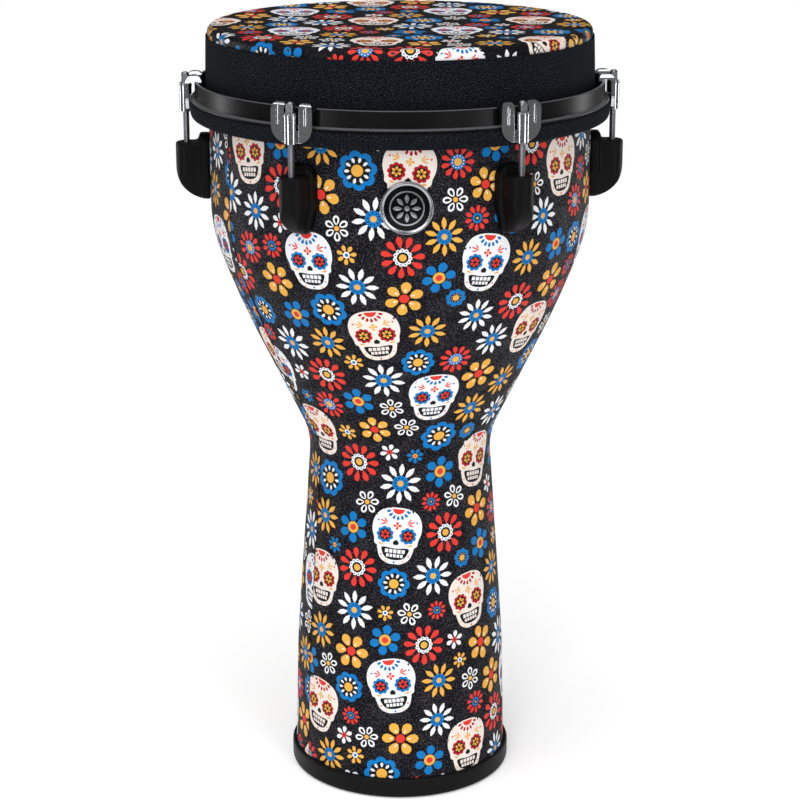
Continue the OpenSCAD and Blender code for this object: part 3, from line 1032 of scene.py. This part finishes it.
def add_collar(cloth, roll):
    low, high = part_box("head_collar")
    _, band_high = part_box("counterhoop")
    _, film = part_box("head_film")
    top, seam = high.z, film.x + SEAM_OUT
    tuck = band_high.z - TUCK
    outside = [(film.x + 0.15 * MM, top - 2.5 * MM), (film.x + 0.35 * MM, top - 0.3 * MM)]
    for inward, below in ((0.6, 0), (0.1, 0.5), (0, 1.4), (0.15, 2.6), (0.05, 3.6)):
        outside.append((seam - inward * MM, top - below * MM))
    outside += bezier([(seam + 0.05 * MM, top - 5 * MM), (seam + 0.5 * MM, (top + tuck) / 2),
                       (seam + 0.8 * MM, tuck + 8 * MM), (seam + 1.0 * MM, tuck)], 14)
    outside += bezier([(seam + 1.1 * MM, tuck - 1 * MM), (seam + 1.4 * MM, low.z + 5 * MM),
                       (seam + 2.6 * MM, low.z + 3 * MM), (seam + 4.4 * MM, low.z)], 8)[1:]

    def wobble(angle, height):
        t = (top - height) / (top - tuck)
        return RIPPLE * max(0, min(1, t)) * math.sin(RIPPLES * angle + 2 * math.sin(3 * angle))

    piece = revolve("collar", outside, [cloth], CLOTH_SIDES, wobble=wobble)
    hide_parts("head_collar")
    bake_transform(piece)
    return piece


ROLL_WIDE = 10 * MM
ROLL_STEPS = 28
ROLL_SQUARENESS = 0.6


def add_roll(cloth):
    """The cloth rolled round the flesh hoop: a ring with a soft, nearly square section."""
    low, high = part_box("collar_roll")
    middle = (high.x - ROLL_WIDE / 2, (low.z + high.z) / 2)
    half = (ROLL_WIDE / 2, (high.z - low.z) / 2)
    section = []
    for x, y in disc(1, ROLL_STEPS):
        out = math.copysign(abs(x) ** ROLL_SQUARENESS, x)
        up = math.copysign(abs(y) ** ROLL_SQUARENESS, y)
        section.append((middle[0] + out * half[0], middle[1] + up * half[1]))
    piece = revolve("cloth_roll", section, [cloth], CLOTH_SIDES, close=True)
    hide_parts("collar_roll")
    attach(piece, "hoop")
    return piece


# ---------------------------------------------------------------- hardware

EDGE_ANGLE = math.radians(35)


def finish_node(name, material, bevel=0.0, segments=3):
    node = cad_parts[name]
    node.data.materials.clear()
    node.data.materials.append(material)
    if bevel:
        rounding = node.modifiers.new("rounding", "BEVEL")
        rounding.width = bevel
        rounding.segments = segments
        rounding.limit_method = "ANGLE"
        rounding.angle_limit = EDGE_ANGLE
        rounding.harden_normals = True
    return node


def bmesh_object(name, mesh, material):
    data = bpy.data.meshes.new(name)
    mesh.to_mesh(data)
    mesh.free()
    data.materials.append(material)
    return add_object(name, data)


ROD_RADIUS = 2.5 * MM
THREAD_PITCH = 0.8 * MM
THREAD_DEPTH = 0.42 * MM
THREAD_SIDES = 20
SHANK_ABOVE_CLAW_FOOT = 4 * MM


def thread_rows(low, high, radius):
    """Rows of (turn offset, radius) up a screw thread: root, flank, crest, flank."""
    root = radius - THREAD_DEPTH
    rows = []
    for turn in range(-1, int((high - low) / THREAD_PITCH) + 1):
        rows += [(turn, root), (turn + 0.12, root), (turn + 0.50, radius), (turn + 0.62, radius)]
    return rows


def add_thread(mesh, centre, low, high, radius):
    """A right-hand screw thread as one helical grid, flat at both ends."""
    rows = thread_rows(low, high, radius)
    rings = []
    for turn, r in rows:
        ring = []
        for side in range(THREAD_SIDES):
            angle = TAU * side / THREAD_SIDES
            z = min(max(low + (turn + side / THREAD_SIDES) * THREAD_PITCH, low), high)
            ring.append(mesh.verts.new((centre.x + r * math.cos(angle), centre.y + r * math.sin(angle), z)))
        rings.append(ring)
    for row in range(len(rows) - 1):
        for side in range(THREAD_SIDES):
            shift = 4 if side == THREAD_SIDES - 1 else 0
            if row + 1 + shift >= len(rows):
                continue
            across = (side + 1) % THREAD_SIDES
            corners = (rings[row][side], rings[row + shift][across], rings[row + 1 + shift][across],
                       rings[row + 1][side])
            if max(c.co.z for c in corners) - min(c.co.z for c in corners) > 0.01 * MM:
                mesh.faces.new(corners)


def add_rod(i, steel):
    """A tension rod: the CAD part's own head and shank on a real thread."""
    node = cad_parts[f"tension_rod_{i}"]
    low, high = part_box(node.name)
    claw_low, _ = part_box(f"claw_{i}")
    centre = (low + high) / 2
    shank = claw_low.z + SHANK_ABOVE_CLAW_FOOT
    mesh = bmesh.new()
    mesh.from_mesh(node.data)
    parts = mesh.verts[:] + mesh.edges[:] + mesh.faces[:]
    bmesh.ops.bisect_plane(mesh, geom=parts, plane_co=(0, 0, shank), plane_no=(0, 0, 1), clear_inner=True)
    add_thread(mesh, centre, low.z, shank + 0.5 * MM, ROD_RADIUS)
    foot = disc(ROD_RADIUS - THREAD_DEPTH, THREAD_SIDES, (centre.x, centre.y))
    mesh.faces.new([mesh.verts.new((x, y, low.z)) for x, y in reversed(foot)])
    piece = bmesh_object(f"rod_{i}_threaded", mesh, steel)
    piece.data.polygons.foreach_set("use_smooth", np.ones(len(piece.data.polygons), bool))
    piece.data.set_sharp_from_angle(angle=EDGE_ANGLE)
    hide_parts(node.name)
    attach(piece, f"rod_{i}")


LUG_CELL = 0.55 * MM


def soften_lug(i, plastic):
    """Rounds the lug's edges as a moulding has them."""
    node = finish_node(f"lug_{i}", plastic)
    cells = node.modifiers.new("cells", "REMESH")
    cells.mode = "VOXEL"
    cells.voxel_size = LUG_CELL
    cells.use_smooth_shade = True
    rounding = node.modifiers.new("rounding", "CORRECTIVE_SMOOTH")
    rounding.use_only_smooth = True
    rounding.iterations = 14
    rounding.factor = 0.6


BADGE_CROWN = 1.1 * MM
# Heights of the mark over the dome.
MARK_EDGE = 0.30 * MM
MARK_HUB = 0.42 * MM
MARK_RING = 0.28 * MM
MARK_ROOT = -0.05 * MM


def add_boss(mesh, shape, raised):
    """A petal or disc with sloped sides and a raised middle. raised gives a place over the dome."""
    front = [mesh.verts.new(raised(x, y, MARK_EDGE)) for x, y in shape]
    back = [mesh.verts.new(raised(x * 1.012, y * 1.012, MARK_ROOT)) for x, y in shape]
    hub_x, hub_y = np.mean(np.array(shape), axis=0)
    hub = mesh.verts.new(raised(hub_x, hub_y, MARK_HUB))
    for k in range(len(shape)):
        n = (k + 1) % len(shape)
        mesh.faces.new((front[k], front[n], hub))
        mesh.faces.new((front[k], back[k], back[n], front[n]))


def add_ring(mesh, outer, inner, raised):
    rows = []
    for outline, lift in ((outer, MARK_ROOT), (outer, MARK_RING), (inner, MARK_RING), (inner, MARK_ROOT)):
        rows.append([mesh.verts.new(raised(x, y, lift)) for x, y in outline])
    for a, b in zip(rows, rows[1:]):
        for k in range(len(outer)):
            n = (k + 1) % len(outer)
            mesh.faces.new((a[k], a[n], b[n], b[k]))


def badge_mark(silver):
    """A plain eight-petal rosette in a ring, in low relief on the dome."""
    low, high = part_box("badge_dome")
    centre = (low + high) / 2
    radius = (high.x - low.x) / 2

    def raised(x, y, lift):
        reach = min(1.0, math.hypot(x, y))
        depth = low.y + BADGE_CROWN * reach * reach - lift
        return (centre.x + x * radius, depth, centre.z + y * radius)

    mesh = bmesh.new()
    for k in range(8):
        add_boss(mesh, turned(petal(0.20, 0.62, 0.10, 0.6, 0.55), TAU * k / 8), raised)
    add_boss(mesh, disc(0.12, 20), raised)
    add_ring(mesh, disc(0.78, 64), disc(0.71, 64), raised)
    bmesh.ops.recalc_face_normals(mesh, faces=mesh.faces[:])
    piece = bmesh_object("badge_mark", mesh, silver)
    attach(piece, "drum")


def add_hardware():
    plate = chrome()
    plastic = moulded_plastic()
    steel = rod_steel()
    brass = bright_metal("turned_brass", (0.72, 0.5, 0.2), 0.2, 0.35)
    zinc = bright_metal("zinc_steel", (0.5, 0.51, 0.53), 0.25, 0.4)
    silver = bright_metal("badge_silver", (0.34, 0.35, 0.37), 0.2, 0.3)
    for i in range(1, 7):
        finish_node(f"claw_{i}", plate, 0.8 * MM, 4)
        add_rod(i, steel)
        finish_node(f"rod_washer_{i}", plate, 0.25 * MM)
        soften_lug(i, plastic)
        finish_node(f"swivel_nut_{i}", brass, 0.3 * MM)
    finish_node("counterhoop", black_coat())
    finish_node("base_ring", rubber())
    finish_node("shell", fibre_wall())
    finish_node("flesh_hoop", bright_metal("mill_aluminium", (0.7, 0.7, 0.72), 0.3, 0.45))
    finish_node("lug_screws", zinc, 0.3 * MM)
    finish_node("lug_washers", zinc)
    bezel_low, bezel_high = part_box("badge_bezel")
    rim = badge_rim("badge_rim", (bezel_low + bezel_high) / 2, (bezel_high.x - bezel_low.x) / 2)
    finish_node("badge_bezel", rim)
    finish_node("badge_dome", badge_lacquer("badge_black", (0.002, 0.002, 0.0025)))
    badge_mark(silver)


add_camera()
add_studio()
add_wrap()
add_head()
collar = collar_cloth()
add_collar(collar, add_roll(collar))
add_hardware()
